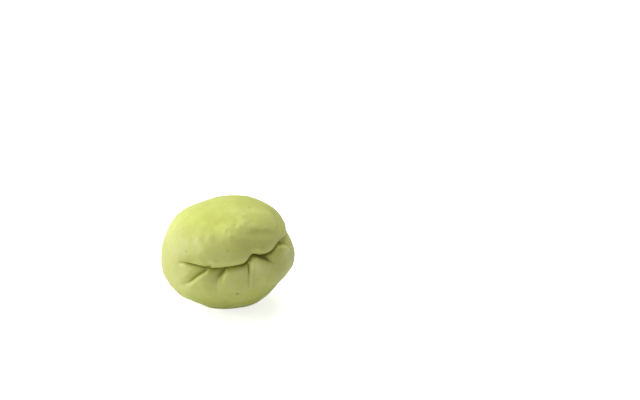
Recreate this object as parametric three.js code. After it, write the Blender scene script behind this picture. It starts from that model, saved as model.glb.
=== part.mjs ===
// Chayote squash: one fruit, as picked, lying on its side. Millimetres, +Z up.
// The fruit's own axis runs along Y, with the puckered blossom end at -Y and the stem end at +Y. It rests on a small
// flat spot, rolled and tipped a little, and the origin is at the middle of its bounding box's bottom.
//
// The skin is one surface over a map of the fruit. On the map, (across, up) = tan(half the angle from the blossom tip)
// times the unit direction round the axis: 0 is the blossom tip, 1 is the girth, and infinity is the stem end.
import * as THREE from "three";

// ---- Driving dimensions ----
const WIDTH = 87; // across the widest girth
const THICKNESS = 70.5; // from the upper to the lower flat side
const FRONT = 46; // from the girth to the blossom tip
const BACK = 60; // from the girth to the stem end
const FRONT_SHOULDER = 0.1; // how much fuller than an ellipse each end is
const BACK_SHOULDER = -0.06;
const REST_ROLL = 7.6; // degrees, the mouth's right end up
const REST_TIP = 7.5; // degrees, the blossom end up
const REST_FLAT = 0.8; // how deep the flat spot it rests on is pressed in

// ---- Mesh density ----
const AROUND = 124; // points round the mouth
const RINGS = 44; // rings from the mouth to the stem end
const LAST_RING = 2.4; // how far from the stem end the last ring stops
const SPREAD = 0.15; // how far the points are drawn from the mouth's corners to its middle

// ---- The mouth: the cleft across the blossom end, as (across, up) on the face ----
const MOUTH_PATH = [
  [-30.8, 5.5], [-27, 4], [-22, 2], [-17.5, 0], [-14.4, -1.2], [-10, -2.2], [-5, -2.7], [-1.5, -2.5],
  [1, -2.5], [4, -2.7], [7.5, -2.5], [9.8, -1.6], [11.6, -0.1], [13.5, 1.6], [15.4, 2.1], [17.8, 1.5], [20, 0.5],
  [22, 0.3], [25, 1], [28, 2.3], [30.6, 4.3], [32.8, 6.2], [34.8, 7.4],
];
// values at places across the mouth
const MOUTH_DEPTH = [
  [-30.8, 1.4], [-26, 2.8], [-15, 4.6], [-9, 6], [-4, 5.4], [0, 4.6], [8, 4.8], [15, 6], [22, 6.6], [26, 4.8],
  [31, 4], [34.6, 3.4],
];
const UPPER_LIP = [[-31, 4], [-20, 6.5], [0, 8], [25, 7], [36, 4]]; // radius of the plump upper lip
const LOWER_LIP = [[-31, 2.4], [-18, 3], [-7, 4.5], [8, 3.8], [22, 4], [26, 3], [35, 2.8]]; // and of the lower lobes
const UPPER_SWELL = [[-31, 0.6], [-15, 2.4], [15, 3], [36, 1.4]]; // how far each side swells past the body
const LOWER_SWELL = [[-31, 0.6], [0, 0.8], [36, 1.4]];
const SWELL_REACH = 12; // how far from the mouth the swelling is highest
const OVERHANG = 0.42; // how steeply the cleft climbs behind the upper lip
const BEND_FADE = 1.1; // how far from the mouth its bends carry through the rings

// ---- Creases between the lobes, as paths of (across, up) on the face. depth, left and right are values at even steps
//      along the path: how deep the crease is, and how wide its walls are on the left and on the right of the way. ----
const CREASES = [
  // the left fold
  {
    face: [[-14.6, -1], [-18.6, -2], [-22.2, -4], [-25.5, -6.4], [-28.6, -8.6], [-31.5, -9.9], [-34.2, -10.4]],
    depth: [3.4, 3.2, 3.2, 3, 2.2, 0.9, 0.3],
    left: [3.4, 3.4],
    right: [6, 4.5],
  },
  // the left valley
  {
    face: [[-3.4, -2.6], [-5.4, -3.9], [-7.6, -5.7], [-9.2, -7.6], [-10.2, -10.6], [-11, -15.5]],
    depth: [5, 4.4, 3.2, 1.8, 0.8, 0],
    left: [3, 3.4, 4.4, 5.2, 5.2, 5],
    right: [4, 4.5, 6, 8, 9, 8],
  },
  // the middle fold
  {
    face: [[10.8, -1.6], [10.6, -4.5], [10.1, -9.2], [9.6, -14.2], [9.3, -18]],
    depth: [3.2, 2.3, 1.5, 0.8, 0],
    left: [3.6, 3.6],
    right: [3.6, 4],
  },
  // the right valley
  {
    face: [[20.4, 0.4], [22, -0.1], [24.2, -1.2], [26.4, -2.4], [29.2, -3.6]],
    depth: [5.6, 5, 3.6, 1.4, 0],
    left: [4, 4.4, 4.4, 3.6, 3],
    right: [3, 3.4],
  },
  // the curl over the lobe at the mouth's right end
  {
    face: [[34.8, 7.4], [36.2, 7.1], [37.3, 6], [38, 4.4], [38.6, 2.4], [38.4, 0]],
    depth: [3.4, 2.8, 2, 1.3, 0.7, 0],
    left: [3.4, 3.4],
    right: [2.8, 3],
  },
  // the fold beside the upper lobe
  {
    face: [[33.7, 6.2], [36.1, 7.2], [38.2, 8.6], [39.8, 9.3]],
    depth: [2.2, 1.6, 0.9, 0],
    left: [3, 3.4],
    right: [3, 3.4],
  },
  // the groove on the upper lobe
  {
    face: [[29.5, 25], [31.7, 22], [33.2, 18.5], [34, 15.5], [32.6, 12]],
    depth: [0, 0.9, 1.1, 0.9, 0],
    left: [3, 3],
    right: [3, 3],
  },
];

// ---- Soft furrows and swells of the body: on the face as above, or on the flank at [how far behind the girth, degrees
//      round the axis from +X] ----
const FURROWS = [
  // along the right flank, from the mouth's end to beside the stem end
  {
    flank: [[-28, 12.5], [-23, 13], [-18, 15], [-10, 16], [0, 15.5], [18, 14], [40, 11]],
    depth: [3.8, 3.4, 2.8, 2.2, 1.7, 1.2, 0.8],
    left: [3.4, 4, 5, 7, 8, 9, 9],
    right: [4, 6, 11, 14, 14, 15, 15],
  },
  // the brow across the upper lobe, which is a furrow turned outwards
  {
    face: [[-31, 6], [-26, 9], [-20, 11], [-13, 13.5], [-5, 15.5], [3, 17.5], [12, 19.5], [20, 21], [27, 20]],
    depth: [0, -0.9, -1.2, -1.2, -1.2, -1.2, -1, -0.6, 0],
    left: [12, 12],
    right: [12, 12],
  },
  // along the left flank, starting behind the mouth's other end
  {
    flank: [[-6, 174], [12, 177], [30, 180], [46, 182]],
    depth: [0.3, 1.3],
    left: [9, 10],
    right: [9, 10],
  },
  // down from the stem end, on the upper and on the lower side
  {
    flank: [[54, 62], [42, 66], [28, 70]],
    depth: [1.2, 0],
    left: [7, 9],
    right: [7, 9],
  },
  {
    flank: [[54, 285], [40, 280], [24, 276]],
    depth: [1.4, 0],
    left: [7, 9],
    right: [7, 9],
  },
];
const SWELLS = [
  { at: [-6, 44], rise: 1.3, reach: 18 },
  { at: [-12, 312], rise: -0.8, reach: 16 },
  { at: [14, 110], rise: 0.5, reach: 24 },
  { at: [24, 235], rise: -1, reach: 22 },
  { at: [8, 132], rise: 1.1, reach: 13 },
  { at: [8, 68], rise: 1.1, reach: 13 },
  { at: [-3, 357], rise: -1.2, reach: 10 },
  { at: [-9, 340], rise: 0.6, reach: 8 },
  { at: [-14, 321], rise: -1.5, reach: 10 },
  { at: [-13, 234], rise: -1.6, reach: 8 },
  { at: [-3, 24], rise: -1.5, reach: 8 },
  { at: [-15, 280], rise: 0.6, reach: 10 },
  { at: [6, 15], rise: -1.2, reach: 9 },
  { at: [-13, 217], rise: 0.5, reach: 6 },
  { at: [-16, 243], rise: 0.7, reach: 6 },
  { at: [-5, 314], rise: -0.8, reach: 7 },
  { at: [10, 124], rise: 0.5, reach: 10 },
  { at: [12, 93], rise: 0.4, reach: 9 },
  { at: [-2, 184], rise: 0.5, reach: 12 },
  { at: [-42.8, 2], rise: 1.6, reach: 4.5 }, // the tops of the two lobes at the mouth's right end
  { at: [-27.2, 6], rise: 2, reach: 4 },
  { at: [-35, 152], rise: -0.5, reach: 5 }, // the dip beside the mouth's left end
];

// ---- Stem end ----
const STEM = { across: 1.5, up: 2, wide: 7.5, high: 6, depth: 2.4, rim: 0.4 };

// ---- Small helpers ----
const radians = THREE.MathUtils.degToRad;
const mix = (pair, t) => pair[0] + (pair[1] - pair[0]) * t;

// The value a share t of the way along values at even steps.
function even(values, t) {
  const place = t * (values.length - 1);
  const i = Math.min(Math.floor(place), values.length - 2);
  return mix(values.slice(i), place - i);
}

// A smooth value through [x, value] points, held level past both ends.
function through(points, x) {
  const last = points.length - 1;
  if (x <= points[0][0]) return points[0][1];
  if (x >= points[last][0]) return points[last][1];
  const i = points.findIndex((point) => point[0] > x) - 1;
  const slope = (k) => {
    const [before, after] = [points[Math.max(k - 1, 0)], points[Math.min(k + 1, last)]];
    return (after[1] - before[1]) / (after[0] - before[0]);
  };
  const [from, to] = [points[i], points[i + 1]];
  const run = to[0] - from[0];
  const t = (x - from[0]) / run;
  return (
    from[1] * (1 + 2 * t) * (1 - t) ** 2 +
    slope(i) * run * t * (1 - t) ** 2 +
    to[1] * t * t * (3 - 2 * t) -
    slope(i + 1) * run * t * t * (1 - t)
  );
}

// ---- The smooth body ----
function bodyPoint(across, up) {
  const square = across * across + up * up;
  const along = (1 - square) / (1 + square);
  const length = along > 0 ? FRONT : BACK;
  const shoulder = along > 0 ? FRONT_SHOULDER : BACK_SHOULDER;
  return new THREE.Vector3(
    (WIDTH * across) / (1 + square),
    -length * along * (1 + shoulder * (1 - along * along)),
    (THICKNESS * up) / (1 + square),
  );
}

function outward(point) {
  const length = point.y < 0 ? FRONT : BACK;
  return new THREE.Vector3(
    point.x / (WIDTH / 2) ** 2,
    point.y / length ** 2,
    point.z / (THICKNESS / 2) ** 2,
  ).normalize();
}

// The map point of a spot given by its millimetres (across, up) on the face, as seen along the fruit's axis.
function onFace([x, z]) {
  const across = x / (WIDTH / 2);
  const up = z / (THICKNESS / 2);
  const scale = 1 / (1 + Math.sqrt(1 - Math.min(across * across + up * up, 1)));
  return new THREE.Vector2(across * scale, up * scale);
}

// The map point of a spot given by how far it lies behind the girth, and its angle round the axis.
function onFlank([behind, angle]) {
  const along = -behind / (behind < 0 ? FRONT : BACK);
  const radius = Math.sqrt((1 - along) / (1 + along));
  return new THREE.Vector2(radius * Math.cos(radians(angle)), radius * Math.sin(radians(angle)));
}

// ---- Grooves ----
// A smooth path through spots of the map, laid on the body as short straight pieces.
function laid(spots, steps = 40) {
  return new THREE.SplineCurve(spots).getPoints(steps).map((spot) => bodyPoint(spot.x, spot.y));
}

// The nearest place on a laid path: its distance, how far along the path it is from 0 to 1, and whether the point is on
// the path's left, seen from outside.
function nearest(line, point, out) {
  let best = { distance: Infinity };
  for (let i = 0; i < line.length - 1; i++) {
    const piece = new THREE.Line3(line[i], line[i + 1]);
    const t = piece.closestPointToPointParameter(point, true);
    const away = new THREE.Vector3().subVectors(point, piece.at(t, new THREE.Vector3()));
    const distance = away.length();
    if (distance < best.distance) {
      const turn = piece.delta(new THREE.Vector3()).cross(away).dot(out);
      best = { distance, along: (i + t) / (line.length - 1), onLeft: turn > 0 };
    }
  }
  return best;
}

const onMap = (groove) => groove.face?.map(onFace) ?? groove.flank.map(onFlank);
const withLine = (groove) => ({ ...groove, line: laid(onMap(groove)) });
const creases = CREASES.map(withLine);
const furrows = FURROWS.map(withLine);
const swells = SWELLS.map((swell) => ({ ...swell, centre: bodyPoint(...onFlank(swell.at).toArray()) }));

// How deep a set of grooves cuts at a point: each is a valley of its depth with a round bottom and round shoulders.
function cut(grooves, point, out) {
  let sum = 0;
  for (const { line, depth, left, right } of grooves) {
    const { distance, along, onLeft } = nearest(line, point, out);
    const share = distance / even(onLeft ? left : right, along);
    if (share < 1) sum += (even(depth, along) * (1 - share * share) ** 2) ** 3;
  }
  return Math.cbrt(sum);
}

function swelling(point) {
  return swells.reduce((sum, { centre, rise, reach }) => {
    return sum + rise * Math.exp(-((point.distanceTo(centre) / reach) ** 2));
  }, 0);
}

// The dip where the stem was, with a low swollen rim round it.
function stemDip(point) {
  if (point.y < 0) return 0;
  const share = Math.hypot((point.x - STEM.across) / STEM.wide, (point.z - STEM.up) / STEM.high);
  return STEM.depth * Math.exp(-(share ** 2.5)) - STEM.rim * Math.exp(-(((share - 1.4) / 0.5) ** 2));
}

// ---- The skin ----
const PATH_ON_MAP = MOUTH_PATH.map((spot) => onFace(spot).toArray());
const SLIT_MIDDLE = (PATH_ON_MAP.at(-1)[0] + PATH_ON_MAP[0][0]) / 2;
const SLIT_HALF = (PATH_ON_MAP.at(-1)[0] - PATH_ON_MAP[0][0]) / 2;
const MERIDIAN = Math.PI * Math.sqrt(((THICKNESS / 2) ** 2 + ((FRONT + BACK) / 2) ** 2) / 2);

// Ring k lies on an ellipse of the map whose foci are the mouth's corners. Ring 0 is the mouth line itself, and the
// rings after it are close together at the mouth and open out towards the girth.
function ringSpread(k) {
  const t = k / RINGS;
  const distance = (MERIDIAN - LAST_RING) * (1.5 * t ** 1.6 - 0.5 * t ** 3.2);
  return Math.asinh(Math.tan((Math.PI * distance) / MERIDIAN / 2) / SLIT_HALF);
}

function skinPoint(k, j) {
  const spread = ringSpread(k);
  const turn = (2 * Math.PI * j) / AROUND;
  const angle = turn + SPREAD * Math.exp(-spread) * Math.sin(2 * turn);
  const straight = new THREE.Vector2(Math.cosh(spread) * Math.cos(angle), Math.sinh(spread) * Math.sin(angle));
  straight.multiplyScalar(SLIT_HALF);
  const past = Math.max(Math.abs(straight.x) - SLIT_HALF, 0);
  const fromMouth = Math.hypot(past, straight.y);
  const across = SLIT_MIDDLE + straight.x;
  const up = straight.y + through(PATH_ON_MAP, across) * Math.exp(-((spread / BEND_FADE) ** 2));
  const point = bodyPoint(across, up);
  const out = outward(point);

  // the mouth: both lips turn in on a quarter of an ellipse, and swell a little further out. side is 0 on the lower
  // side, 1 on the upper side, and turns from one to the other round the mouth's corners.
  const place = bodyPoint(SLIT_MIDDLE + SLIT_HALF * Math.cos(angle), 0).x;
  const distance = ((WIDTH + THICKNESS) / 2) * (fromMouth / (1 + across * across + up * up));
  const side = THREE.MathUtils.smoothstep(Math.sin(angle), -1 / 3, 1 / 3);
  const share = Math.min(distance / mix([through(LOWER_LIP, place), through(UPPER_LIP, place)], side), 1);
  const cleft = through(MOUTH_DEPTH, place) * (1 - Math.sqrt(1 - (1 - share) ** 2));
  const swell = distance / SWELL_REACH;
  const full = mix([through(LOWER_SWELL, place), through(UPPER_SWELL, place)], side);
  const lips = full * swell * Math.exp(1 - swell);

  const depth = Math.cbrt(cleft ** 3 + cut(creases, point, out) ** 3);
  const rise = lips + swelling(point) - depth - cut(furrows, point, out) - stemDip(point);
  point.addScaledVector(out, rise);
  point.z += OVERHANG * cleft;
  return point;
}

function skin() {
  const vertices = [];
  const faces = [];
  const index = [];
  for (let k = 0; k <= RINGS; k++) {
    index.push([]);
    for (let j = 0; j < AROUND; j++) {
      // on ring 0 the upper and the lower lip meet, so they share their points
      const shared = k === 0 && j > AROUND / 2;
      index[k].push(shared ? index[0][AROUND - j] : vertices.length / 3);
      if (!shared) vertices.push(...skinPoint(k, j).toArray());
    }
  }
  for (let k = 0; k < RINGS; k++)
    for (let j = 0; j < AROUND; j++) {
      const next = (j + 1) % AROUND;
      faces.push(index[k][j], index[k + 1][next], index[k][next]);
      faces.push(index[k][j], index[k + 1][j], index[k + 1][next]);
    }
  const stem = vertices.length / 3;
  const stemPoint = new THREE.Vector3(0, BACK, 0);
  stemPoint.y -= stemDip(stemPoint);
  vertices.push(...stemPoint.toArray());
  for (let j = 0; j < AROUND; j++) faces.push(index[RINGS][j], stem, index[RINGS][(j + 1) % AROUND]);
  const geometry = new THREE.BufferGeometry();
  geometry.setAttribute("position", new THREE.Float32BufferAttribute(vertices, 3));
  geometry.setIndex(faces);
  return geometry;
}

// ---- Rest ----
// Turns the fruit as it lies, presses the flat spot, and moves the origin to the middle of the box's bottom.
function laidDown(geometry) {
  geometry.rotateY(-radians(REST_ROLL));
  geometry.rotateX(-radians(REST_TIP));
  geometry.computeBoundingBox();
  const floor = geometry.boundingBox.min.z + REST_FLAT;
  const places = geometry.attributes.position;
  for (let i = 0; i < places.count; i++) places.setZ(i, Math.max(places.getZ(i), floor));
  geometry.computeBoundingBox();
  const middle = geometry.boundingBox.getCenter(new THREE.Vector3());
  geometry.translate(-middle.x, -middle.y, -floor);
  geometry.computeVertexNormals();
  return geometry;
}

const fruit = new THREE.Group();
const chayote = new THREE.Mesh(
  laidDown(skin()),
  new THREE.MeshStandardMaterial({ color: 0xb4bd68, roughness: 0.5, metalness: 0 }),
);
chayote.name = "chayote";
fruit.add(chayote);
export default fruit;
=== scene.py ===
"""Chayote squash: the fruit's skin, worked out as one fine surface over the frame, in a plain studio."""

import math

import bpy
import numpy as np
from bpy.props import FloatProperty, FloatVectorProperty, IntProperty, PointerProperty
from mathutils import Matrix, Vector


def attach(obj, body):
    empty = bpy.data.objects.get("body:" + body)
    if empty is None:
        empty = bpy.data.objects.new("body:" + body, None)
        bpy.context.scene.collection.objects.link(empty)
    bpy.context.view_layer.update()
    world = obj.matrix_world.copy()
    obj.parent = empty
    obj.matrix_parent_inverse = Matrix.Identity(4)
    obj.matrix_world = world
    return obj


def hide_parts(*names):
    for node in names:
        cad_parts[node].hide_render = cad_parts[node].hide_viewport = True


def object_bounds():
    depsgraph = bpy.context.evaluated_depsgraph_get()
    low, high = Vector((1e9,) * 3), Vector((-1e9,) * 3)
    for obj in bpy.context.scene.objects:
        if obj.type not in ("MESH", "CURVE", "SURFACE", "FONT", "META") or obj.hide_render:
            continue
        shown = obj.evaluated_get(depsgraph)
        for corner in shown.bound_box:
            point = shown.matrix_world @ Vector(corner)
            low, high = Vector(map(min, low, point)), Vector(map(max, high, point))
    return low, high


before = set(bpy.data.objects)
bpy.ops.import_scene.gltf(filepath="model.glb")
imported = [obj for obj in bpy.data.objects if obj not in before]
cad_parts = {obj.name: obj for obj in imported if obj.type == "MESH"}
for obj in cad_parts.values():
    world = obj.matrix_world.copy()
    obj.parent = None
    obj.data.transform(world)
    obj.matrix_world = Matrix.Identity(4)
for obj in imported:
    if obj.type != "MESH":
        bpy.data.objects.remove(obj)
CAD_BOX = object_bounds()

bl_info = {
    "name": "Chayote squash",
    "version": (1, 0, 0),
    "blender": (4, 5, 0),
    "location": "3D View > Sidebar > Chayote",
    "description": "Makes a chayote squash's skin over its solid, and a plain studio round it",
    "category": "Object",
}

MM = 0.001

# ---- The shape is given in millimetres. A place is either (across, up) on the face, as the blossom end is
#      seen along the fruit's axis, or (behind the girth, degrees round the axis from +X) on the flank. ----

# ---- The mouth: the cleft across the blossom end, as places on the face ----
MOUTH_PATH = [
    (-30.8, 4.9), (-27, 3.7), (-22, 1.9), (-17.5, 0), (-14.4, -1.2), (-10, -2.2), (-5, -2.7), (-1.5, -2.5),
    (1, -2.4), (4, -2.2), (7.5, -2.1), (9.8, -1.4), (11.6, 0.1), (13.5, 2), (15.4, 2.6), (17.8, 1.9),
    (20, 0.7), (22, 0.3), (25, 1), (28, 2.3), (30.6, 4.3), (32.8, 6.2), (34.8, 7.4),
]
# How deep the cleft is, how far out its lips turn in, and how much they swell, as (place across, value).
MOUTH_DEPTH = [
    (-30.8, 1.4), (-28.5, 2.4), (-26, 3.5), (-15, 4.6), (-9, 5.4), (-4, 5.2), (0, 4.6), (8, 4.4), (15, 6),
    (22, 6.6), (26, 4.5), (31, 3.6), (34.6, 3.4),
]
UPPER_LIP = [(-31, 4), (-20, 6.5), (0, 8), (25, 7), (36, 4)]
LOWER_LIP = [
    (-31, 2.6), (-25, 2.5), (-18, 2.6), (-12, 3.2), (-8, 3.6), (-3, 2.2), (2, 1.8), (9, 1.7), (14, 2.2),
    (19, 2.3), (22, 2.7), (26, 1.3), (35, 0.9),
]
UPPER_SWELL = [(-31, 0.6), (-15, 2.4), (15, 3), (36, 1.4)]
LOWER_SWELL = [(-31, 0.6), (0, 0.8), (36, 1.4)]
SWELL_REACH = 12  # how far from the mouth its lips swell most
OVERHANG = 0.42  # how far the cleft leans up behind the upper lip, as a share of its depth
BEND_FADE = 1.1  # how soon the rings round the mouth lose its bends

# ---- Creases between the lower lobes. depth, left and right are values at even steps along the crease: how
#      deep it is, and how wide its walls are on the left and on the right of it. pinch is how tightly the
#      walls are pressed together: 0 is a round bottom and 1 a closed line. ----
CREASES = {
    "left fold": dict(
        face=[
            (-14, 0), (-18, -1.8), (-22.2, -4), (-25.5, -6.4), (-28.6, -8.6), (-31.5, -9.9), (-34.2, -10.4),
        ],
        depth=(4, 3.9, 3.7, 3.4, 2.5, 1, 0.4), left=(2.2, 2.4, 2.8), right=(6.4, 5, 3.8), pinch=0.5,
    ),
    "left valley": dict(
        face=[(-3.4, -2.6), (-5.4, -3.9), (-7.6, -5.7), (-9.2, -7.6), (-10.2, -10.6), (-11, -15.5)],
        depth=(6.2, 5.6, 4, 2.2, 1.2, 0.3), pinch=0.5,
        left=(1.4, 2, 4, 5.2, 5.2, 5), right=(3.2, 4.4, 7.5, 10, 11, 10),
    ),
    "middle fold": dict(
        face=[(11.5, -1.2), (11.2, -4.5), (10.3, -9.2), (9.6, -14.2), (9.3, -18)],
        depth=(3.8, 2.7, 1.7, 0.9, 0), left=(2.4, 2.4), right=(3, 3.4), pinch=0.8,
    ),
    "middle dip": dict(
        face=[(15, -3), (15, -8.7), (14.3, -14.3), (13.4, -18)],
        depth=(0.6, 0.9, 0.5, 0), left=(3, 4), right=(3, 4), pinch=0,
    ),
    "right valley": dict(
        face=[(20.2, 1.6), (21.7, 0.8), (23.2, -0.4), (24.6, -1.6), (26, -2.8), (28, -4)],
        depth=(5.4, 6, 5.6, 3.4, 1.2, 0), pinch=0.5,
        left=(3, 4, 4.6, 4.4, 3.6, 3), right=(1.4, 1.4, 1.6, 2, 2.6),
    ),
    "right curl": dict(
        face=[(34.8, 7.4), (36.2, 7.1), (37.3, 6), (38, 4.4), (38.6, 2.4), (38.4, 0)],
        depth=(3.6, 3, 2.4, 1.6, 0.8, 0), left=(2.8, 2.8), right=(1.8, 2), pinch=0.5,
    ),
    "fold beside the upper lobe": dict(
        face=[(33.7, 6.2), (36.1, 7.2), (38.2, 8.6), (39.8, 9.3)],
        depth=(2.4, 1.8, 1, 0), left=(1.8, 2.4), right=(2.4, 3), pinch=0.6,
    ),
    "upper lobe's groove": dict(
        face=[(29.4, 24.5), (31.9, 21.5), (33.3, 18.8), (33.7, 16.4), (33.2, 13), (32, 10.5)],
        depth=(0, 0.9, 1.2, 1.2, 0.8, 0), left=(2, 2), right=(1.8, 2), pinch=0.2,
    ),
    "upper lobe's ridge": dict(
        face=[(26.7, 24.7), (28.7, 22.7), (30.1, 20.4), (31.1, 18.2), (31.1, 16.1), (30, 13)],
        depth=(0, -0.5, -0.7, -0.8, -0.6, 0), left=(2, 2), right=(3, 3), pinch=0,
    ),
    "edge of the brow": dict(
        face=[(11, 20.6), (15, 19.2), (19, 18), (23, 17), (27, 16), (29.5, 15)],
        depth=(0, -0.4, -0.55, -0.55, -0.3, 0), left=(5, 5), right=(2.6, 2.6), pinch=0,
    ),
    "dip under the brow": dict(
        face=[(7, 18.6), (11, 17), (15.5, 15.6), (20.5, 14.6), (25.5, 13.6), (29, 13)],
        depth=(0, 0.3, 0.4, 0.35, 0.3, 0), left=(2.4, 2.4), right=(4, 4), pinch=0,
    ),
}

# ---- Soft furrows of the body, given as the creases are ----
FURROWS = {
    "right flank": dict(
        flank=[(-28, 12.5), (-23, 13), (-18, 15), (-10, 16), (0, 15.5), (18, 14), (40, 11)],
        depth=(3.8, 3.4, 2.8, 2.2, 1.7, 1.2, 0.8), pinch=0,
        left=(2.6, 3.2, 5, 7, 8, 9, 9), right=(3, 6, 11, 14, 14, 15, 15),
    ),
    "upper lobe's brow": dict(
        face=[
            (-31, 6), (-26, 9), (-20, 11), (-13, 13.5), (-5, 15.5), (3, 17.5), (12, 19.5), (20, 21), (27, 20),
        ],
        depth=(0, -0.9, -1.2, -1.2, -1.2, -1.2, -1, -0.6, 0), pinch=0, left=(12, 12), right=(12, 12),
    ),
    "left flank": dict(
        flank=[(-6, 174), (12, 177), (30, 180), (46, 182)],
        depth=(0.3, 1.3), left=(9, 10), right=(9, 10), pinch=0,
    ),
    "upper stem end": dict(
        flank=[(54, 62), (42, 66), (28, 70)],
        depth=(1.2, 0), left=(7, 9), right=(7, 9), pinch=0,
    ),
    "lower stem end": dict(
        flank=[(54, 285), (40, 280), (24, 276)],
        depth=(1.4, 0), left=(7, 9), right=(7, 9), pinch=0,
    ),
}

# ---- Soft puckers that run forward out of the stem end, as (degrees round the axis, length, depth). They
#      start beside the scar, this far behind the girth, and slant by so many degrees on their way. ----
PUCKERS = [(22, 33, 0.75), (104, 27, 0.6), (147, 35, 0.85), (212, 29, 0.75), (248, 25, 0.5), (318, 33, 0.75)]
PUCKER_START = 59.4
PUCKER_SLANT = 7

# ---- Swells and dips of the body, as (place on the flank, rise, reach) ----
SWELLS = [
    ((-6, 44), 1.3, 18), ((-12, 312), -0.8, 16), ((14, 110), 0.5, 24), ((24, 235), -1, 22),
    ((8, 132), 1.1, 13), ((8, 68), 1.1, 13), ((-3, 357), -1.2, 10), ((-9, 340), 0.6, 8),
    ((-14, 321), -1.5, 10), ((-13, 234), -1.6, 8), ((-3, 24), -1.5, 8), ((-15, 280), 0.6, 10),
    ((6, 15), -1.2, 9), ((-13, 217), 0.5, 6), ((-16, 243), 0.7, 6), ((-5, 314), -0.8, 7),
    ((10, 124), 0.5, 10), ((12, 93), 0.4, 9), ((-2, 184), 0.5, 12), ((-42.8, 2), 1.6, 4.5),
    ((-27.2, 6), 2, 4), ((-35, 152), -0.5, 5),
]

# ---- Small bumps and dimples of the upper lobe's brow, and the lobe at the mouth's right end, as (place on
#      the face, rise, reach) ----
BUMPS = [
    ((12, 22.2), 0.5, 1.8), ((8.6, 20.9), 0.35, 1.2), ((11, 26.4), 0.25, 1.6), ((14.2, 26.2), 0.2, 1.4),
    ((1.8, 21.7), 0.4, 2.2), ((-3.7, 21.4), 0.2, 1.6), ((-0.3, 18.7), 0.3, 1.5), ((2.6, 16.4), 0.35, 1.6),
    ((5.8, 14.3), 0.35, 1.8), ((-9.4, 18.2), 0.25, 2.6), ((-15.5, 19.4), 0.25, 2.4),
    ((-22, 18), 0.3, 2.4), ((-27, 20.5), 0.25, 2), ((8.1, 24.7), -0.35, 1.4), ((6.7, 21.7), -0.4, 1.3),
    ((13.8, 24.5), -0.3, 1.3), ((16.4, 22.1), -0.4, 1.5), ((1.6, 19.6), -0.3, 1.1),
    ((4.6, 18.8), -0.35, 1.4), ((-6, 15.6), -0.15, 2.6), ((-12.5, 16.4), -0.15, 2.4),
    ((-18.6, 17.4), -0.15, 2), ((-25, 15.6), -0.3, 2.2), ((0, 13.6), -0.2, 2), ((-23.6, 26.6), -0.3, 2.4),
    ((-17.6, 23.8), -0.25, 2), ((-18, 12), -0.3, 3), ((-32, 19), -0.25, 2.4), ((33.8, 1.4), 0.7, 3.4),
]

# ---- Unevenness all over the skin, as (height, the size, count and seed of its waves) ----
UNEVENNESS = [(0.22, dict(size=17, count=14, seed=3)), (0.07, dict(size=6, count=22, seed=5))]

# ---- Broad painted light and shade on the skin, as (place on the face, tone, reach). A tone above 0 is
#      painted light, lighter and duller, and one below 0 is painted shade, darker and fuller. ----
PAINTED_SHADING = [
    ((10, 29), 0.6, 9), ((18, 26), 0.5, 9), ((25.4, 24.7), 0.5, 8), ((12.6, 22.3), 0.4, 5),
    ((3.9, 21.4), 0.5, 3), ((-33.7, -6.9), 0.2, 8), ((-2, -25.5), 0.35, 9), ((17.4, -30), 0.35, 9),
    ((35.9, 6.6), 0.6, 3.5), ((33.9, 1.9), 0.6, 2.6), ((15.5, -3.8), 0.5, 4.5), ((-14.1, 32.8), -0.25, 8),
    ((-23, 20), -0.5, 10), ((-24, 10.5), -0.6, 7), ((-26, 4), -0.4, 5), ((-10.5, -3.6), -0.4, 4),
    ((-12.3, -8.9), -0.35, 5), ((31.4, -7.3), -0.4, 8), ((26.5, -9), -0.25, 7),
]

# ---- Dark spots and small scars, as (place on the face, radius, how dark from 0 to 1) ----
SPOTS = [
    ((2, -19), 1.5, 0.75), ((-25, 12), 1.2, 0.5), ((18, 29.5), 1.3, 0.5), ((0, 9.5), 1.4, 0.2),
    ((35.5, 9.5), 0.6, 0.5), ((-34, -11.5), 0.9, 0.4), ((-17, -8), 0.5, 0.4), ((29, -15), 0.6, 0.4),
]

# ---- The dip with the stem's scar: its middle, half width, half height, depth, and how high its rim is ----
STEM = dict(across=1.5, up=2, wide=7.5, high=6, depth=2.4, rim=0.4)

# ---- Where the material changes ----
# Painted shade: the creases are darkened in the skin's colour, fully at this depth
DARKEST_DEPTH = 3.2  # how deep a crease is where it is darkest
FACE_REACH = 30  # how far from the mouth the blossom end's own colour reaches
CLEAR_OF_STEM = 4  # how many of the dip's radii away from it count as far from the stem

# ---- The grid ----
LINE_STEPS = 40  # straight pieces in the line of a groove
FOLD_STEPS = 24  # and in the line of a fold that draws the grid in
FOLDS = ("left fold", "middle fold")
FOLD_REACH = 0.045  # how near to a fold the grid is drawn in, on the map
FOLD_POWER = 1.7  # how strongly it is drawn in
STEM_GAP = 0.5  # how far from the stem end's own point the last ring is
ROW_SPREAD = 0.15  # how far the rows at the mouth's corners are spread out

# ---- The finish ----
# Painted light and shade: the next two say how much lighter and duller a tone of 1 makes the skin
PAINTED_LIGHTER = 0.25  # how much lighter a wash of tone 1 makes the skin
PAINTED_DULLER = 0.12  # and how much duller
RAGGED = 0.0008  # how far the edges of speckles and scuffs are shifted, in metres
RELIEF = 0.0003  # how deep the bump's fine relief is, in metres
FLOOR_CORNERS = 64


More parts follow.
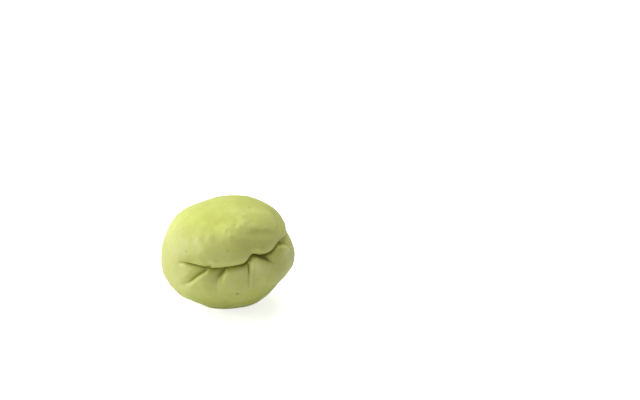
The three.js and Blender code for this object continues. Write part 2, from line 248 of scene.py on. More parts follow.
# ---- Settings ----
class ChayoteBody(bpy.types.PropertyGroup):
    """The fruit's sizes and how it lies."""

    width: FloatProperty(name="Width", description="Across the widest girth", default=0.087, unit="LENGTH")
    thickness: FloatProperty(
        name="Thickness", description="From the upper to the lower flat side", default=0.0705, unit="LENGTH"
    )
    front: FloatProperty(
        name="Front", description="From the girth to the blossom tip", default=0.046, unit="LENGTH"
    )
    back: FloatProperty(
        name="Back", description="From the girth to the stem end", default=0.060, unit="LENGTH"
    )
    front_shoulder: FloatProperty(
        name="Front shoulder", description="How much fuller than an ellipse the blossom end is", default=0.1
    )
    back_shoulder: FloatProperty(
        name="Back shoulder", description="How much fuller than an ellipse the stem end is", default=-0.06
    )
    roll: FloatProperty(
        name="Roll", description="How far the mouth's right end is turned up",
        default=math.radians(7.6), unit="ROTATION",
    )
    tip: FloatProperty(
        name="Tip", description="How far the blossom end is tipped up",
        default=math.radians(7.5), unit="ROTATION",
    )
    flat: FloatProperty(
        name="Flat spot", description="How deep its resting spot is pressed in", default=0.0008, unit="LENGTH"
    )
    around: IntProperty(name="Points", description="Points round the mouth", default=472)
    rings: IntProperty(name="Rings", description="Rings from the mouth to the stem end", default=208)


class ChayoteSkin(bpy.types.PropertyGroup):
    """The skin's colours and finish."""

    light: FloatVectorProperty(
        name="Light skin", description="The palest green of the skin",
        default=(0.61, 0.66, 0.145), subtype="COLOR",
    )
    deep: FloatVectorProperty(
        name="Deep skin", description="The fuller green between the pale patches",
        default=(0.50, 0.545, 0.08), subtype="COLOR",
    )
    face: FloatVectorProperty(
        name="Blossom end", description="The paler, warmer green round the mouth",
        default=(0.59, 0.60, 0.175), subtype="COLOR",
    )
    # Painted shade: a darker green laid into the creases, where shade falls
    crease_shade: FloatVectorProperty(
        name="Crease", description="The dark green down in the creases",
        default=(0.34, 0.37, 0.045), subtype="COLOR",
    )
    pore: FloatVectorProperty(
        name="Pores", description="The pale dots where the skin breathes",
        default=(0.68, 0.71, 0.36), subtype="COLOR",
    )
    fleck: FloatVectorProperty(
        name="Flecks", description="The brown of scuffs and small scars",
        default=(0.16, 0.14, 0.04), subtype="COLOR",
    )
    cork: FloatVectorProperty(
        name="Stem scar", description="The corky grey-brown of the stem scar",
        default=(0.30, 0.26, 0.14), subtype="COLOR",
    )
    roughness: FloatProperty(name="Roughness", description="Roughness of the bare skin", default=0.5)


class ChayoteStage(bpy.types.PropertyGroup):
    """The floor, the lights and the camera."""

    floor_radius: FloatProperty(name="Floor", description="Radius of the floor", default=5.0, unit="LENGTH")
    floor_colour: FloatVectorProperty(
        name="Floor colour", description="Colour of the floor", default=(0.8, 0.8, 0.8), subtype="COLOR"
    )
    glow: FloatProperty(
        name="Floor glow", description="How brightly the floor shines by itself", default=0.055
    )
    bleach: FloatProperty(
        name="Floor bleach", description="How much brighter still the camera sees it", default=0.7
    )
    key: FloatProperty(name="Left light", description="Strength of the soft light at the left", default=2.22)
    top: FloatProperty(name="Top light", description="Strength of the soft light from above", default=2.4)
    softness: FloatProperty(
        name="Softness", description="How wide both lights are in the sky",
        default=math.radians(60), unit="ROTATION",
    )
    fill: FloatProperty(name="Fill", description="Strength of the even light all round", default=0.11)
    walls: FloatProperty(
        name="Walls", description="How bright the walls look in the skin's gloss", default=0.4
    )
    left_wall: FloatProperty(
        name="Left wall", description="How much brighter the left wall looks in the skin's gloss", default=0.9
    )
    azimuth: FloatProperty(
        name="Azimuth", description="The camera's direction round the fruit",
        default=math.radians(-2), unit="ROTATION",
    )
    elevation: FloatProperty(
        name="Elevation", description="The camera's height over the fruit",
        default=math.radians(17.5), unit="ROTATION",
    )
    distance: FloatProperty(
        name="Distance", description="From the camera to the fruit", default=1.0, unit="LENGTH"
    )
    lens: FloatProperty(name="Lens", description="Focal length in millimetres", default=84.7)
    aside: FloatProperty(
        name="Aside", description="How far the fruit lies left of the view's middle",
        default=0.0621, unit="LENGTH",
    )
    below: FloatProperty(
        name="Below", description="How far the fruit lies below the view's middle",
        default=0.0311, unit="LENGTH",
    )


# ---- Curves and values ----
def through(points, x):
    """A smooth curve through (x, value) points, held level past both ends. Between two points it is the cubic
    with their values and with the slopes of the chords past them."""
    held = np.pad(np.array(points, float).T, ((0, 0), (1, 1)), "edge")
    at, value = held[:, 1:-1]
    chord = held[:, 2:] - held[:, :-2]
    slope = chord[1] / chord[0]
    x = np.clip(x, at[0], at[-1])
    i = np.clip(np.searchsorted(at, x, side="right") - 1, 0, len(at) - 2)
    run = at[i + 1] - at[i]
    t = (x - at[i]) / run
    return (
        value[i] * (1 + 2 * t) * (1 - t) ** 2
        + slope[i] * run * t * (1 - t) ** 2
        + value[i + 1] * t * t * (3 - 2 * t)
        - slope[i + 1] * run * t * t * (1 - t)
    )


def mixed(pair, t):
    """The value a share t of the way from the first of a pair to the second."""
    return pair[0] + (pair[1] - pair[0]) * t


def even(values, t):
    """The value a share t of the way along values at even steps."""
    return np.interp(t, np.linspace(0, 1, len(values)), values)


def spline(spots, steps):
    """Points along the smooth curve through spots: cubics whose slope at a spot is half the step from the
    spot before it to the one after it."""
    spots = np.array(spots)
    last = len(spots) - 1
    place = np.linspace(0, last, steps + 1)
    i = np.minimum(place.astype(int), last - 1)
    t = place - i
    before, start, end, after = (spots[np.clip(i + step, 0, last)] for step in (-1, 0, 1, 2))
    v0, v1 = (end - before) / 2, (after - start) / 2
    cubic, square = 2 * (start - end) + v0 + v1, 3 * (end - start) - 2 * v0 - v1
    return cubic * t**3 + square * t**2 + v0 * t + start


def waves(points, size, count, seed):
    """Smooth unevenness, mostly from -1 to 1: the sum over sqrt(2 count) of many sine waves, each in its own
    direction and from 0.7 to 1.5 times size long."""
    chance = np.random.default_rng(seed)
    ways = chance.normal(size=(count, 3))
    lengths = size * chance.uniform(0.7, 1.5, count)
    ways *= (2 * np.pi / lengths / np.linalg.norm(ways, axis=1))[:, None]
    starts = chance.uniform(0, 2 * np.pi, count)
    return sum(np.sin(points @ way + start) for way, start in zip(ways, starts)) / math.sqrt(2 * count)


# ---- The smooth body ----
class Body:
    """The fruit before its mouth, grooves and swells, in millimetres. A spot of it is a complex number on a
    map, across + up i: its size is the tangent of half the angle from the blossom tip, and its direction is
    the direction round the axis."""

    def __init__(self, settings):
        """Half its width and thickness, its length each way from the girth, and the way over it from the
        blossom tip to the stem end, which is half round an ellipse: pi sqrt((a^2 + b^2) / 2)."""
        self.half = np.array((settings.width, settings.thickness)) / MM / 2
        self.front, self.back = settings.front / MM, settings.back / MM
        self.shoulders = settings.front_shoulder, settings.back_shoulder
        mean = (self.front + self.back) / 2
        self.meridian = math.pi * math.sqrt((self.half[1] ** 2 + mean**2) / 2)

    def points(self, w):
        """x = width a / (1 + a^2 + b^2), z = thickness b / (1 + a^2 + b^2) and y = -length c (1 + shoulder
        (1 - c^2)), where c = (1 - a^2 - b^2) / (1 + a^2 + b^2), a is across and b is up."""
        square = abs(w) ** 2
        c = (1 - square) / (1 + square)
        ahead = c > 0
        length = np.where(ahead, self.front, self.back)
        shoulder = np.where(ahead, *self.shoulders)
        x, z = 2 * self.half[0] * w.real / (1 + square), 2 * self.half[1] * w.imag / (1 + square)
        return np.stack([x, -length * c * (1 + shoulder * (1 - c * c)), z], axis=-1)

    def outward(self, points):
        """The direction of (x / a^2, y / b^2, z / c^2), the normal of an ellipsoid with half axes a, b, c."""
        length = np.where(points[..., 1] < 0, self.front, self.back)
        way = points / np.stack(np.broadcast_arrays(self.half[0], length, self.half[1]), -1) ** 2
        return way / np.linalg.norm(way, axis=-1, keepdims=True)

    def on_face(self, across, up):
        """The map's number for a place that is given as it is seen along the axis."""
        w = complex(across / self.half[0], up / self.half[1])
        return w / (1 + math.sqrt(1 - min(abs(w) ** 2, 1)))

    def on_flank(self, behind, turn):
        """The map's number for a place so many millimetres behind the girth and degrees round the axis."""
        c = -behind / (self.front if behind < 0 else self.back)
        return math.sqrt((1 - c) / (1 + c)) * np.exp(1j * math.radians(turn))

    def course(self, groove, steps):
        """The smooth course of a groove on the map."""
        spots = [self.on_face(*place) for place in groove.get("face", [])]
        spots += [self.on_flank(*place) for place in groove.get("flank", [])]
        return spline(spots, steps)


def humps(body, spot_at, table, points):
    """The sum of round humps over the smooth body, height exp(-(distance / reach)^2), from a table of (place,
    height, reach), whose places spot_at puts on the map."""
    total = np.zeros(len(points))
    for place, height, reach in table:
        away = points - body.points(spot_at(*place))
        total += height * np.exp(-(away**2).sum(1) / reach**2)
    return total


# ---- Grooves ----
def nearest(line, points):
    """For each point, the nearest spot of a line of short straight pieces, the share of the line's length
    where it is, and the line's direction there."""
    best = np.full(len(points), np.inf)
    foot, way = np.zeros_like(points), np.zeros_like(points)
    share = np.zeros(len(points))
    for i, (start, end) in enumerate(zip(line[:-1], line[1:])):
        run = end - start
        t = np.clip((points - start) @ run / (run @ run), 0, 1)
        spot = start + t[:, None] * run
        distance = np.linalg.norm(points - spot, axis=1)
        closer = distance < best
        best[closer], foot[closer], way[closer] = distance[closer], spot[closer], run
        share[closer] = (i + t[closer]) / (len(line) - 1)
    return foot, share, way


def valley(share, pinch):
    """The depth at a share of the way up a valley's wall: a round bottom, (1 - s^2)^2, mixed with walls that
    press together at the bottom, 1 - sqrt(1 - (1 - s)^2)."""
    share = np.clip(share, 0, 1)
    return mixed(((1 - share**2) ** 2, 1 - np.sqrt(1 - (1 - share) ** 2)), pinch)


def cut(body, grooves, points, out):
    """How deep a set of grooves cuts at each point. Where grooves meet, their depths add as cubes, so that
    the deeper one rules. A point is on the left where the groove's direction, the way to the point and the
    way out make a right-handed set."""
    total = np.zeros(len(points))
    for groove in grooves:
        line = body.points(body.course(groove, LINE_STEPS))
        reach = max(groove["left"] + groove["right"])
        close = np.flatnonzero(((points > line.min(0) - reach) & (points < line.max(0) + reach)).all(1))
        foot, share, way = nearest(line, points[close])
        away = points[close] - foot
        left = np.einsum("ij,ij->i", np.cross(way, away), out[close]) > 0
        width = np.where(left, even(groove["left"], share), even(groove["right"], share))
        walls = valley(np.linalg.norm(away, axis=1) / width, groove["pinch"])
        total[close] += (even(groove["depth"], share) * walls) ** 3
    return np.cbrt(total)


def pucker(turn, length, deep):
    """A groove that starts narrow and shallow beside the stem's scar, and widens and fades on its way."""
    steps = (0, 0.25, 0.5, 0.75, 1)
    return dict(
        flank=[(PUCKER_START - length * along, turn + PUCKER_SLANT * along) for along in steps],
        depth=(0.2 * deep, 0.8 * deep, deep, 0.6 * deep, 0), pinch=0,
        left=(1, 2.2, 3.4, 4.6, 5.5), right=(1.4, 3, 4.8, 6.5, 7.5),
    )


# ---- The fruit's skin ----
def drawn_in(w, lines):
    """Moves the map's spots nearer to lines, so that the rings and rows are finest there. Within reach of a
    line, a distance d becomes reach (d / reach)^power, and the power fades to 1 at the line's far end."""
    spots = np.stack([w.real, w.imag], -1).reshape(-1, 2)
    for line in lines:
        foot, share, _ = nearest(np.stack([line.real, line.imag], -1), spots)
        away = spots - foot
        near = np.minimum(np.linalg.norm(away, axis=1) / FOLD_REACH, 1)
        spots = foot + away * (near ** ((FOLD_POWER - 1) * np.sqrt(1 - share)))[:, None]
    return (spots @ [1, 1j]).reshape(w.shape)


def map_rings(body, around, rings):
    """The skin's points on the map, with each one's angle round the mouth, its distance from it, and the
    place across the mouth that it belongs to.

    Ring k lies on an ellipse whose foci are the mouth's corners: w = middle + half cosh(spread + angle i),
    bent as the mouth is. Ring 0 is the mouth itself, and the rings are closest together there: the way to
    ring k goes as 1.5 t^1.6 - 0.5 t^3.2, where t is k / rings. A step on the map is 2 r / (1 + |w|^2) times
    as long on the body, where r is the mean of its half width and half thickness."""
    mouth = [body.on_face(*place) for place in MOUTH_PATH]
    middle, half = (mouth[-1].real + mouth[0].real) / 2, (mouth[-1].real - mouth[0].real) / 2
    t = np.arange(rings + 1)[:, None] / rings
    length = (body.meridian - STEM_GAP) * (1.5 * t**1.6 - 0.5 * t**3.2)
    spread = np.arcsinh(np.tan(math.pi * length / body.meridian / 2) / half)
    turn = 2 * math.pi * np.arange(around)[None, :] / around
    angle = turn + ROW_SPREAD * np.exp(-spread) * np.sin(2 * turn)

    straight = half * np.cosh(spread + 1j * angle)
    bend = through([(spot.real, spot.imag) for spot in mouth], middle + straight.real)
    w = middle + straight + 1j * bend * np.exp(-((spread / BEND_FADE) ** 2))
    below = np.sin(angle) <= 1e-9  # the mouth's corners too
    w = np.where(below, drawn_in(w, [body.course(CREASES[name], FOLD_STEPS) for name in FOLDS]), w)

    past = np.maximum(abs(straight.real) - half, 0)
    distance = body.half.sum() * np.hypot(past, straight.imag) / (1 + abs(w) ** 2)
    place = body.points(middle + half * np.cos(angle) + 0j)[..., 0]
    return w.ravel(), angle.ravel(), distance.ravel(), place.ravel()


def mouth_shape(angle, distance, place):
    """How deep the cleft cuts and how high its lips swell. The lips turn in on a quarter of an ellipse, depth
    (1 - sqrt(1 - (1 - s)^2)) at a share s of the lip's radius, and swell by rise s exp(1 - s) further out.
    Both go over from the lower lip to the upper one by a smooth step, where the angle's sine is within a
    third of 0."""
    side = np.clip(0.5 + 1.5 * np.sin(angle), 0, 1)
    side = side * side * (3 - 2 * side)
    share = distance / mixed((through(LOWER_LIP, place), through(UPPER_LIP, place)), side)
    swell = distance / SWELL_REACH
    rise = mixed((through(LOWER_SWELL, place), through(UPPER_SWELL, place)), side)
    return through(MOUTH_DEPTH, place) * valley(share, 1), rise * swell * np.exp(1 - swell)


def from_stem(points):
    """How far each point is from the middle of the stem's dip, where 1 is its radius."""
    across, up = (points[:, 0] - STEM["across"]) / STEM["wide"], (points[:, 2] - STEM["up"]) / STEM["high"]
    behind = points[:, 1] > 0
    return np.minimum(np.where(behind, np.hypot(across, up), CLEAR_OF_STEM), CLEAR_OF_STEM)


def stem_dip(reach):
    """The dip at the stem end, depth exp(-r^2.5), with a low round rim, rim exp(-((r - 1.4) / 0.5)^2)."""
    return STEM["depth"] * np.exp(-(reach**2.5)) - STEM["rim"] * np.exp(-(((reach - 1.4) / 0.5) ** 2))


def grain_of(w):
    """Where spots of the map lie in the fruit's grain: their direction round the axis as x and z, and their
    share of the angle from the blossom tip to the stem end as y."""
    way = w / np.maximum(abs(w), 1e-9)
    return np.stack([way.real, 2 / math.pi * np.arctan(abs(w)), way.imag], -1)


def skin_points(body, around, rings):
    """The skin's points, ring by ring and then the stem end's own, with what the material needs to know at
    each: how much painted shade its crease gets, how far the mouth and the stem are, the painted light and
    shade, and the grain."""
    w, angle, distance, place = map_rings(body, around, rings)
    points = body.points(w)
    out = body.outward(points)
    cleft, lips = mouth_shape(angle, distance, place)
    depth = np.cbrt(cleft**3 + cut(body, CREASES.values(), points, out) ** 3)
    furrow = cut(body, [*FURROWS.values(), *(pucker(*each) for each in PUCKERS)], points, out)
    stem = from_stem(points)
    uneven = sum(height * waves(points, **wave) for height, wave in UNEVENNESS)
    swells = humps(body, body.on_flank, SWELLS, points) + humps(body, body.on_face, BUMPS, points)
    placed = points + out * (lips + swells + uneven - depth - furrow - stem_dip(stem))[:, None]
    placed[:, 2] += OVERHANG * cleft
    facts = dict(
        # how much painted shade each point gets, by the depth of its crease
        crease_shade=np.clip(depth / DARKEST_DEPTH, 0, 1),
        mouth=np.minimum(distance / FACE_REACH, 1),
        stem=stem,
        # painted light and shade: lighter or darker patches by place on the face
        painted_light_shade=humps(body, body.on_face, PAINTED_SHADING, points),
        grain=grain_of(w),
    )
    tip = np.array([[0, body.back, 0]])
    facts = {name: np.concatenate([values, values[-1:]]) for name, values in facts.items()}
    facts["stem"][-1:] = from_stem(tip)
    tip[:, 1] -= stem_dip(from_stem(tip))
    return np.concatenate([placed, tip]), facts


def nearest_point(w, grain):
    """The number of the point whose grain is nearest to that of a spot on the map. Directions count for as
    much as the point is away from the blossom tip."""
    weight = np.stack([grain[:, 1], np.ones(len(grain)), grain[:, 1]], -1)
    return int(np.argmin((((grain - grain_of(w)) * weight) ** 2).sum(1)))


def skin_faces(around, rings):
    """Four-sided faces between the rings. The mouth's upper and lower points are one row, and the last ring
    closes on the stem end's own point."""
    index = np.arange((rings + 1) * around).reshape(rings + 1, around)
    lower = np.arange(around // 2 + 1, around)
    index[0, lower] = index[0, around - lower]
    beside = np.roll(index, -1, axis=1)
    quads = np.stack([index[:-1], index[1:], beside[1:], beside[:-1]], axis=-1).reshape(-1, 4)
    tip = np.full(around, (rings + 1) * around)
    return quads, np.stack([index[-1], tip, beside[-1]], axis=-1)


def laid_down(points, settings):
    """Turns the fruit as it lies, presses the flat spot, and puts the box's bottom middle at the origin."""
    roll, tip = settings.roll, settings.tip
    x, y, z = points.T
    x, z = x * math.cos(roll) - z * math.sin(roll), x * math.sin(roll) + z * math.cos(roll)
    y, z = y * math.cos(tip) + z * math.sin(tip), z * math.cos(tip) - y * math.sin(tip)
    floor = z.min() + settings.flat / MM
    z = np.maximum(z, floor)
    middle = (x.min() + x.max()) / 2, (y.min() + y.max()) / 2
    return np.stack([x - middle[0], y - middle[1], z - floor], axis=-1) * MM


def mesh_from(name, points, quads, triangles, facts):
    """A smooth mesh of these points and faces, without the points that no face uses, and with the facts as
    point attributes."""
    used, corners = np.unique(np.concatenate([quads.ravel(), triangles.ravel()]), return_inverse=True)
    fours, threes = np.split(corners, [quads.size])
    faces = fours.reshape(-1, 4).tolist() + threes.reshape(-1, 3).tolist()
    mesh = bpy.data.meshes.new(name)
    mesh.from_pydata(points[used].tolist(), [], faces, shade_flat=False)
    for fact, values in facts.items():
        kind, field = ("FLOAT_VECTOR", "vector") if values.ndim == 2 else ("FLOAT", "value")
        layer = mesh.attributes.new(fact, kind, "POINT")
        layer.data.foreach_set(field, values[used].astype(np.float32).ravel())
    mesh.validate()
    return mesh


# ---- Node helpers ----
def new_node(tree, kind, **values):
    """A node of this kind, with its inputs set by name and its other properties by their own names."""
    node = tree.nodes.new(kind)
    for name, value in values.items():
        if name in node.inputs:
            node.inputs[name].default_value = value
        else:
            setattr(node, name, value)
    return node


def fed(tree, node, values):
    """The node, with its inputs, by number or name, linked to sockets or set to plain numbers and colours."""
    for key, value in values.items():
        if isinstance(value, bpy.types.NodeSocket):
            tree.links.new(value, node.inputs[key])
        elif isinstance(value, (int, float)):
            node.inputs[key].default_value = value
        else:
            node.inputs[key].default_value = (*value, 1)
    return node


def blended(tree, factor, first, second):
    """A mix of two colours, which go into a mix node's inputs 6 and 7 and come out of its output 2."""
    node = new_node(tree, "ShaderNodeMix", data_type="RGBA")
    return fed(tree, node, {0: factor, 6: first, 7: second}).outputs[2]


def switched(tree, factor, first, second):
    """A mix of two numbers, which go into a mix node's inputs 2 and 3 and come out of its output 0."""
    return fed(tree, new_node(tree, "ShaderNodeMix"), {0: factor, 2: first, 3: second}).outputs[0]


def sum_of(tree, operation, *values):
    """A math node's value."""
    node = new_node(tree, "ShaderNodeMath", operation=operation)
    return fed(tree, node, dict(enumerate(values))).outputs[0]


def laid_over(tree, under, over, mask, strength):
    """One colour laid over another by a mask and a strength."""
    return blended(tree, sum_of(tree, "MULTIPLY", mask, strength), under, over)


def stepped(tree, value, low, high, first=0.0, last=1.0):
    """A smooth step of a value: first at low and below it, last at high and above it."""
    node = new_node(tree, "ShaderNodeMapRange", interpolation_type="SMOOTHSTEP")
    ends = {"From Min": low, "From Max": high, "To Min": first, "To Max": last}
    return fed(tree, node, {"Value": value, **ends}).outputs["Result"]


def noise(tree, vector, **values):
    """A noise texture's value."""
    node = new_node(tree, "ShaderNodeTexNoise", **values)
    return fed(tree, node, {"Vector": vector}).outputs["Fac"]


def attribute(tree, name, output="Fac"):
    """A fact that the mesh holds for each point."""
    return new_node(tree, "ShaderNodeAttribute", attribute_name=name).outputs[output]


def mask_group(name, inputs):
    """An empty node group that makes a mask from coordinates and from inputs of these names and defaults."""
    tree = bpy.data.node_groups.new(name, "ShaderNodeTree")
    tree.interface.new_socket("Vector", in_out="INPUT", socket_type="NodeSocketVector")
    for label, default in inputs.items():
        socket = tree.interface.new_socket(label, in_out="INPUT", socket_type="NodeSocketFloat")
        socket.default_value = default
    tree.interface.new_socket("Mask", in_out="OUTPUT", socket_type="NodeSocketFloat")
    return tree, tree.nodes.new("NodeGroupInput").outputs, tree.nodes.new("NodeGroupOutput").inputs["Mask"]


def patches_group():
    """Soft patches: a noise of the given size, spread over 0 to 1 with soft edges between Low and High."""
    tree, given, mask = mask_group("Patches", {"Scale": 40, "Detail": 2, "Low": 0.4, "High": 0.6})
    texture = new_node(tree, "ShaderNodeTexNoise", Roughness=0.55)
    fed(tree, texture, {label: given[label] for label in ("Vector", "Scale", "Detail")})
    tree.links.new(stepped(tree, texture.outputs["Fac"], given["Low"], given["High"]), mask)
    return tree


def dots_group():
    """Scattered dots: one in each cell of a grid of the given size, where Share of the cells have one, with a
    soft edge at Radius, in cells. A dot's own radius is from 0.5 to 1.5 times that."""
    tree, given, mask = mask_group("Dots", {"Scale": 300, "Radius": 0.15, "Share": 0.6})
    cells = new_node(tree, "ShaderNodeTexVoronoi")
    fed(tree, cells, {label: given[label] for label in ("Vector", "Scale")})
    chance = fed(tree, new_node(tree, "ShaderNodeSeparateColor"), {0: cells.outputs["Color"]})
    shown = sum_of(tree, "LESS_THAN", chance.outputs[0], given["Share"])
    radius = sum_of(tree, "MULTIPLY", given["Radius"], sum_of(tree, "ADD", chance.outputs[1], 0.5))
    edge = sum_of(tree, "DIVIDE", cells.outputs["Distance"], radius)
    dot = stepped(tree, edge, low=0.55, high=1, first=1, last=0)
    tree.links.new(sum_of(tree, "MULTIPLY", dot, shown), mask)
    return tree


def placed_group(tree, source, vector, **values):
    """One use of a node group, on these coordinates and with these values. Gives its mask."""
    node = tree.nodes.new("ShaderNodeGroup")
    node.node_tree = source
    return fed(tree, node, {"Vector": vector, **values}).outputs["Mask"]


def soft_spot(tree, vector, centre, radius, dark):
    """One soft round spot: dark within 0.4 of the radius of its centre, and nothing past the radius."""
    away = new_node(tree, "ShaderNodeVectorMath", operation="DISTANCE")
    away.inputs[1].default_value = centre
    fed(tree, away, {0: vector})
    return stepped(tree, away.outputs["Value"], low=0.4 * radius, high=radius, first=dark, last=0)


# ---- Materials ----
def skin_masks(tree, spots):
    """Where each kind of skin is, from 0 to 1, with the object coordinates as where and the painted light and
    shade as it is. A fine noise shifts the speckles and scuffs, so that their edges are ragged."""
    where = new_node(tree, "ShaderNodeTexCoord").outputs["Object"]
    mouth, stem = attribute(tree, "mouth"), attribute(tree, "stem")
    lengthwise = new_node(tree, "ShaderNodeMapping", Scale=(1, 0.22, 1))
    grain = fed(tree, lengthwise, {"Vector": attribute(tree, "grain", "Vector")}).outputs["Vector"]
    fine = fed(tree, new_node(tree, "ShaderNodeTexNoise", Scale=900, Detail=2), {"Vector": where})
    shifted = new_node(tree, "ShaderNodeVectorMath", operation="MULTIPLY_ADD")
    shifted.inputs[1].default_value = (RAGGED, RAGGED, RAGGED)
    ragged = fed(tree, shifted, {0: fine.outputs["Color"], 2: where}).outputs[0]

    patches, dots = patches_group(), dots_group()
    masks = dict(
        where=where,
        broad=placed_group(tree, patches, where, Scale=26, Detail=3, Low=0.36, High=0.66),
        mottle=placed_group(tree, patches, where, Scale=110, Detail=4, Low=0.45, High=0.62),
        speckle=placed_group(tree, patches, ragged, Scale=260, Detail=3, Low=0.45, High=0.6),
        streak=placed_group(tree, patches, grain, Scale=9, Detail=4, Low=0.42, High=0.72),
        rumpled=placed_group(tree, patches, where, Scale=45, Detail=2, Low=0.42, High=0.62),
        pores=placed_group(tree, dots, where, Scale=330, Radius=0.17, Share=0.55),
        scuffs=placed_group(tree, dots, ragged, Scale=80, Radius=0.04, Share=0.3),
        # painted light and shade
        painted_light_shade=attribute(tree, "painted_light_shade"),
        face=stepped(tree, mouth, low=0.6, high=1, first=0.8, last=0),
        flank=stepped(tree, mouth, low=0.6, high=1),
        # painted shade, laid into the creases
        shaded_creases=stepped(tree, attribute(tree, "crease_shade"), low=0.35, high=1, first=0, last=0.85),
        halo=stepped(tree, stem, low=0.5, high=1.4, first=0.5, last=0),
        scar=stepped(tree, stem, low=0.25, high=0.62, first=1, last=0),
    )
    for centre, radius, dark in spots:
        spot = soft_spot(tree, ragged, centre, radius, dark)
        masks["scuffs"] = sum_of(tree, "MAXIMUM", masks["scuffs"], spot)
    return masks


def skin_colour(tree, settings, masks):
    """The skin's colour: one after the other, colours are laid over its broad patches, each by a mask, and
    painted light and shade changes what is under the pores and scuffs. Painted shade is laid into the
    creases."""
    colour = blended(tree, masks["broad"], settings.deep, settings.light)
    colour = blended(tree, masks["face"], colour, settings.face)
    colour = laid_over(tree, colour, settings.light, masks["mottle"], 0.35)
    colour = laid_over(tree, colour, settings.deep, masks["speckle"], 0.3)
    streaks = sum_of(tree, "MULTIPLY", masks["streak"], masks["flank"])
    colour = laid_over(tree, colour, settings.deep, streaks, 0.12)
    # painted light and shade: lighter and duller where the tone is above 0, darker and fuller below it
    bright = sum_of(tree, "MULTIPLY_ADD", masks["painted_light_shade"], PAINTED_LIGHTER, 1)
    full = sum_of(tree, "MULTIPLY_ADD", masks["painted_light_shade"], -PAINTED_DULLER, 1)
    shading = new_node(tree, "ShaderNodeHueSaturation")
    colour = fed(tree, shading, {"Color": colour, "Value": bright, "Saturation": full}).outputs["Color"]
    colour = laid_over(tree, colour, settings.pore, masks["pores"], 0.14)
    colour = laid_over(tree, colour, settings.fleck, masks["scuffs"], 0.75)
    # painted shade in the creases
    colour = blended(tree, masks["shaded_creases"], colour, settings.crease_shade)
    colour = blended(tree, masks["halo"], colour, settings.deep)
    return blended(tree, masks["scar"], colour, settings.cork)


def skin_relief(tree, masks):
    """The fine relief of the skin's peel, of soft slanting wrinkles in rumpled patches, of the pores and of
    the corky scar, as a bump."""
    slanted = new_node(tree, "ShaderNodeMapping", Rotation=(0, math.radians(38), 0), Scale=(330, 200, 130))
    fed(tree, slanted, {"Vector": masks["where"]})
    peel = noise(tree, masks["where"], Scale=520, Detail=3, Roughness=0.6)
    cork = noise(tree, masks["where"], Scale=900, Detail=5, Roughness=0.7)
    wrinkles = noise(tree, slanted.outputs[0], Scale=1, Detail=2, Roughness=0.5)
    height = sum_of(tree, "MULTIPLY", peel, 0.1)
    height = sum_of(tree, "MULTIPLY_ADD", wrinkles, masks["rumpled"], height)
    height = sum_of(tree, "MULTIPLY_ADD", masks["pores"], 0.04, height)
    height = sum_of(tree, "MULTIPLY_ADD", sum_of(tree, "MULTIPLY", cork, masks["scar"]), 1.2, height)
    bump = new_node(tree, "ShaderNodeBump", Strength=1, Distance=RELIEF)
    return fed(tree, bump, {"Height": height}).outputs["Normal"]


def skin_material(settings, spots):
    """Chayote skin: pale and deeper green in soft patches, faint streaks from end to end, pale breathing
    pores, brown scuffs, dark spots at their (centre, radius, darkness), painted light and shade, painted
    shade in the creases, and a corky scar at the stem end."""
    material = bpy.data.materials.new("chayote_skin")
    material.use_nodes = True
    tree = material.node_tree
    shader = tree.nodes["Principled BSDF"]
    masks = skin_masks(tree, spots)
    rough = sum_of(tree, "MULTIPLY_ADD", masks["mottle"], 0.08, settings.roughness)
    rough = sum_of(tree, "MULTIPLY_ADD", masks["scar"], 0.4, rough)
    colour, relief = skin_colour(tree, settings, masks), skin_relief(tree, masks)
    fed(tree, shader, {"Base Color": colour, "Roughness": rough, "Normal": relief})
    shader.inputs["Specular IOR Level"].default_value = 0.8
    shader.inputs["Sheen Weight"].default_value = 0.08
    shader.inputs["Sheen Roughness"].default_value = 0.4
    shader.inputs["Subsurface Weight"].default_value = 0.12
    shader.inputs["Subsurface Radius"].default_value = (0.004, 0.005, 0.0015)
    shader.inputs["Subsurface Scale"].default_value = 1.0
    return material


def floor_material(settings):
    """Plain pale matt card that shines a little by itself, and more where the camera sees it, so that it
    looks white."""
    material = bpy.data.materials.new("floor_card")
    material.use_nodes = True
    tree = material.node_tree
    shader = tree.nodes["Principled BSDF"]
    shader.inputs["Emission Color"].default_value = (1, 1, 1, 1)
    seen = new_node(tree, "ShaderNodeLightPath").outputs["Is Camera Ray"]
    glow = sum_of(tree, "MULTIPLY_ADD", seen, settings.bleach, settings.glow)
    tree.links.new(glow, shader.inputs["Emission Strength"])
    shader.inputs["Base Color"].default_value = (*settings.floor_colour, 1)
    shader.inputs["Roughness"].default_value = 0.8
    shader.inputs["Specular IOR Level"].default_value = 0.2
    return material


def direction(azimuth, elevation):
    """The direction towards an azimuth, which is 0 in front and positive to the right, and an elevation."""
    flat = math.cos(elevation)
    return Vector((math.sin(azimuth) * flat, -math.cos(azimuth) * flat, math.sin(elevation)))


# ---- Operators ----
class CHAYOTE_OT_fruit(bpy.types.Operator):
    """Make the fruit's skin in place of its plain solid"""

    bl_idname = "chayote.fruit"
    bl_label = "Make the fruit"

    def execute(self, context):
        settings = context.scene.chayote_body
        body = Body(settings)
        points, facts = skin_points(body, settings.around, settings.rings)
        points = laid_down(points, settings)
        quads, triangles = skin_faces(settings.around, settings.rings)
        spots = []
        for place, radius, dark in SPOTS:
            centre = points[nearest_point(body.on_face(*place), facts["grain"])]
            spots.append((tuple(centre), radius * MM, dark))
        mesh = mesh_from("chayote_skin", points, quads, triangles, facts)
        fruit = bpy.data.objects.new("chayote_skin", mesh)
        context.scene.collection.objects.link(fruit)
        fruit.data.materials.append(skin_material(context.scene.chayote_skin, spots))
        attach(fruit, "root")
        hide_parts("chayote")
        return {"FINISHED"}


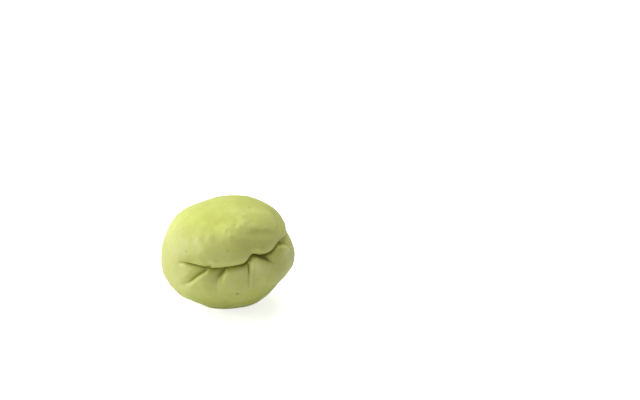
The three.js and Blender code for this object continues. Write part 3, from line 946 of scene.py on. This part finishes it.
class CHAYOTE_OT_stage(bpy.types.Operator):
    """Make the floor, the lights and the camera"""

    bl_idname = "chayote.stage"
    bl_label = "Make the stage"

    def execute(self, context):
        settings = context.scene.chayote_stage
        self.floor(context, settings)
        self.light(context, "left", settings.key, settings.softness, azimuth=-90, elevation=21)
        top = self.light(context, "top", settings.top, settings.softness, azimuth=180, elevation=70)
        top.visible_glossy = False
        self.sky(context, settings)
        self.camera(context, settings)
        return {"FINISHED"}

    def floor(self, context, settings):
        """A wide flat disc."""
        ring = np.arange(FLOOR_CORNERS) * 2 * np.pi / FLOOR_CORNERS
        mesh = bpy.data.meshes.new("floor")
        corners = np.stack([np.cos(ring), np.sin(ring), 0 * ring], -1) * settings.floor_radius
        mesh.from_pydata(corners.tolist(), [], [list(range(FLOOR_CORNERS))])
        mesh.materials.append(floor_material(settings))
        floor = bpy.data.objects.new("floor", mesh)
        context.scene.collection.objects.link(floor)

    def light(self, context, name, strength, softness, azimuth, elevation):
        """A wide soft light, far off in this direction in degrees, so that the floor is lit evenly."""
        light = bpy.data.lights.new(name, "SUN")
        light.energy, light.angle = strength, softness
        lamp = bpy.data.objects.new(name, light)
        towards = direction(math.radians(azimuth), math.radians(elevation))
        lamp.rotation_euler = (-towards).to_track_quat("-Z", "Y").to_euler()
        context.scene.collection.objects.link(lamp)
        return lamp

    def sky(self, context, settings):
        """White where it is seen, dimmer where it lights the fruit, and brighter at the left than at the
        right where it shows in the fruit's gloss."""
        world = bpy.data.worlds.new("studio")
        world.use_nodes = True
        context.scene.world = world
        tree = world.node_tree
        white = tree.nodes["Background"]
        white.inputs["Color"].default_value = (1, 1, 1, 1)
        path = new_node(tree, "ShaderNodeLightPath")
        where = new_node(tree, "ShaderNodeSeparateXYZ")
        tree.links.new(new_node(tree, "ShaderNodeTexCoord").outputs["Generated"], where.inputs[0])
        left = settings.walls + settings.left_wall
        gloss = stepped(tree, where.outputs["X"], low=-0.9, high=0.3, first=left, last=settings.walls)
        strength = switched(tree, path.outputs["Is Diffuse Ray"], gloss, settings.fill)
        strength = switched(tree, path.outputs["Is Camera Ray"], strength, 1)
        tree.links.new(strength, white.inputs["Strength"])

    def camera(self, context, settings):
        """Looks at the fruit from its azimuth and elevation, turned a little so that the fruit lies aside and
        below."""
        aim = (CAD_BOX[0] + CAD_BOX[1]) / 2
        data = bpy.data.cameras.new("camera")
        data.lens, data.clip_start, data.clip_end = settings.lens, 0.01, 30
        camera = bpy.data.objects.new("camera", data)
        back = direction(settings.azimuth, settings.elevation)
        camera.location = aim + back * settings.distance
        right = Vector((math.cos(settings.azimuth), math.sin(settings.azimuth), 0))
        up = back.cross(right)
        look = aim + right * settings.aside + up * settings.below - camera.location
        camera.rotation_euler = look.to_track_quat("-Z", "Y").to_euler()
        context.scene.collection.objects.link(camera)
        context.scene.camera = camera


class CHAYOTE_PT_panel(bpy.types.Panel):
    """The chayote's settings and the buttons that make it"""

    bl_label = "Chayote squash"
    bl_idname = "CHAYOTE_PT_panel"
    bl_space_type = "VIEW_3D"
    bl_region_type = "UI"
    bl_category = "Chayote"

    def draw(self, context):
        for settings, operator in (
            (context.scene.chayote_body, CHAYOTE_OT_fruit),
            (context.scene.chayote_skin, None),
            (context.scene.chayote_stage, CHAYOTE_OT_stage),
        ):
            box = self.layout.box()
            for name in settings.__annotations__:
                box.prop(settings, name)
            if operator:
                box.operator(operator.bl_idname)


CLASSES = (ChayoteBody, ChayoteSkin, ChayoteStage, CHAYOTE_OT_fruit, CHAYOTE_OT_stage, CHAYOTE_PT_panel)
SETTINGS = {"chayote_body": ChayoteBody, "chayote_skin": ChayoteSkin, "chayote_stage": ChayoteStage}


def register():
    """Adds the classes, and their settings to the scene."""
    for cls in CLASSES:
        bpy.utils.register_class(cls)
    for name, cls in SETTINGS.items():
        setattr(bpy.types.Scene, name, PointerProperty(type=cls))


def unregister():
    """Takes them away again."""
    for name in SETTINGS:
        delattr(bpy.types.Scene, name)
    for cls in reversed(CLASSES):
        bpy.utils.unregister_class(cls)


def main():
    """Makes the fruit and the stage."""
    register()
    bpy.context.scene.view_settings.view_transform = "Standard"
    bpy.ops.chayote.fruit()
    bpy.ops.chayote.stage()


if __name__ == "__main__":
    main()
